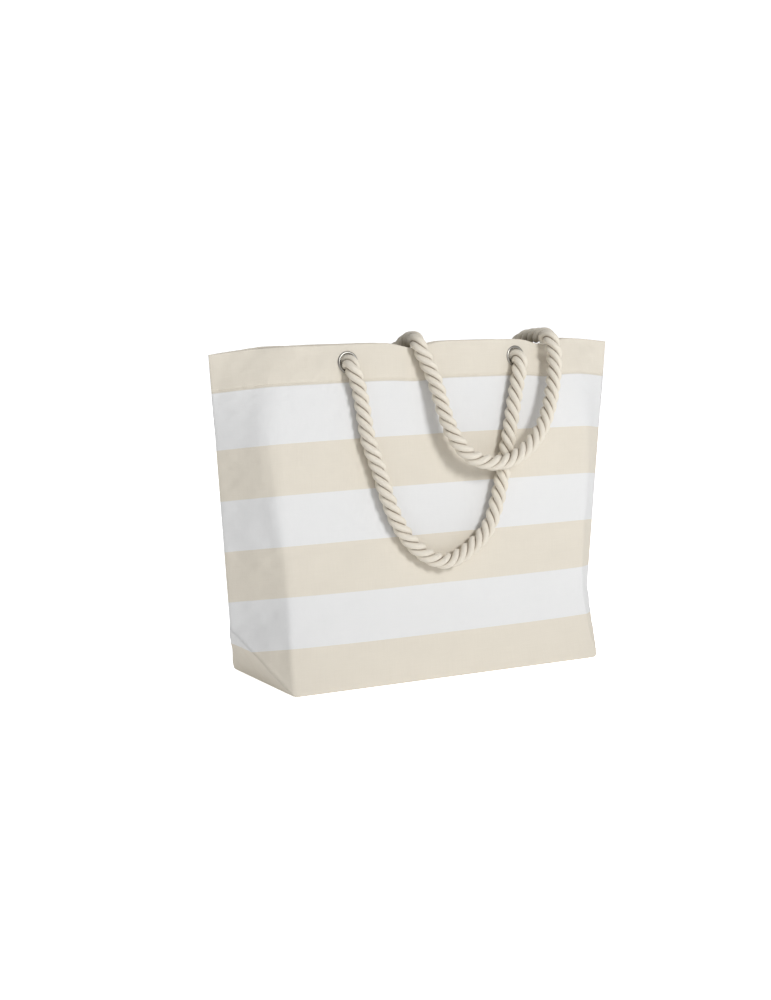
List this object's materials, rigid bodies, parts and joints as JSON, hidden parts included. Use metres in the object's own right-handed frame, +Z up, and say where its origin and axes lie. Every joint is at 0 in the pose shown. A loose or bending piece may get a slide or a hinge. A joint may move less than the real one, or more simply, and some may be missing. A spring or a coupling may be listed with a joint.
{
  "type": "beach bag",
  "caption": "Striped canvas beach tote standing on a boxed base, with thick rope handles through metal eyelets, both handles folded down over the front.",
  "frame": {"origin": "middle of the base on the floor", "axes": "+Z up towards the mouth, +X along the bag's width, the front face with the hanging handles towards -Y"},
  "size_m": [0.5098, 0.1564, 0.3774],
  "materials": {
    "canvas": "undyed woven cotton canvas with white woven stripes",
    "rope": "twisted three-strand natural cotton rope",
    "eyelet": "thin pressed nickel-plated eyelet"
  },
  "bodies": {
    "bag": {"front_panel": "canvas", "back_panel": "canvas", "base_panel": "canvas", "eyelet_front_left": "eyelet", "washer_front_left": "eyelet", "rope_stub_front_left": "rope", "rope_knot_front_left": "rope", "eyelet_front_right": "eyelet", "washer_front_right": "eyelet", "rope_stub_front_right": "rope", "rope_knot_front_right": "rope", "eyelet_rear_left": "eyelet", "washer_rear_left": "eyelet", "rope_stub_rear_left": "rope", "rope_knot_rear_left": "rope", "eyelet_rear_right": "eyelet", "washer_rear_right": "eyelet", "rope_stub_rear_right": "rope", "rope_knot_rear_right": "rope"},
    "front_handle": {"front_handle_loop": "rope"},
    "rear_neck": {"rear_handle_neck_left": "rope", "rear_handle_neck_right": "rope"},
    "rear_loop": {"rear_handle_loop": "rope"}
  },
  "joints": [
    {"name": "handles_lift", "type": "hinge", "parent": "bag", "child": "rear_neck", "pos_m": [0, 0.03379, 0.34709], "axis": [-1, 0, 0], "range_deg": [0, 65]},
    {"name": "rear_loop_lift", "type": "hinge", "parent": "rear_neck", "child": "rear_loop", "pos_m": [0, -0.0396, 0.366], "axis": [-1, 0, 0], "range_deg": [0, 111]},
    {"name": "front_handle_lift", "type": "hinge", "parent": "bag", "child": "front_handle", "pos_m": [0, -0.04156, 0.34864], "axis": [-1, 0, 0], "range_deg": [0, 176]}
  ],
  "couplings": [
    {"joint": "rear_loop_lift", "follows": "handles_lift", "ratio": 1.7076},
    {"joint": "front_handle_lift", "follows": "handles_lift", "ratio": 2.7076}
  ]
}
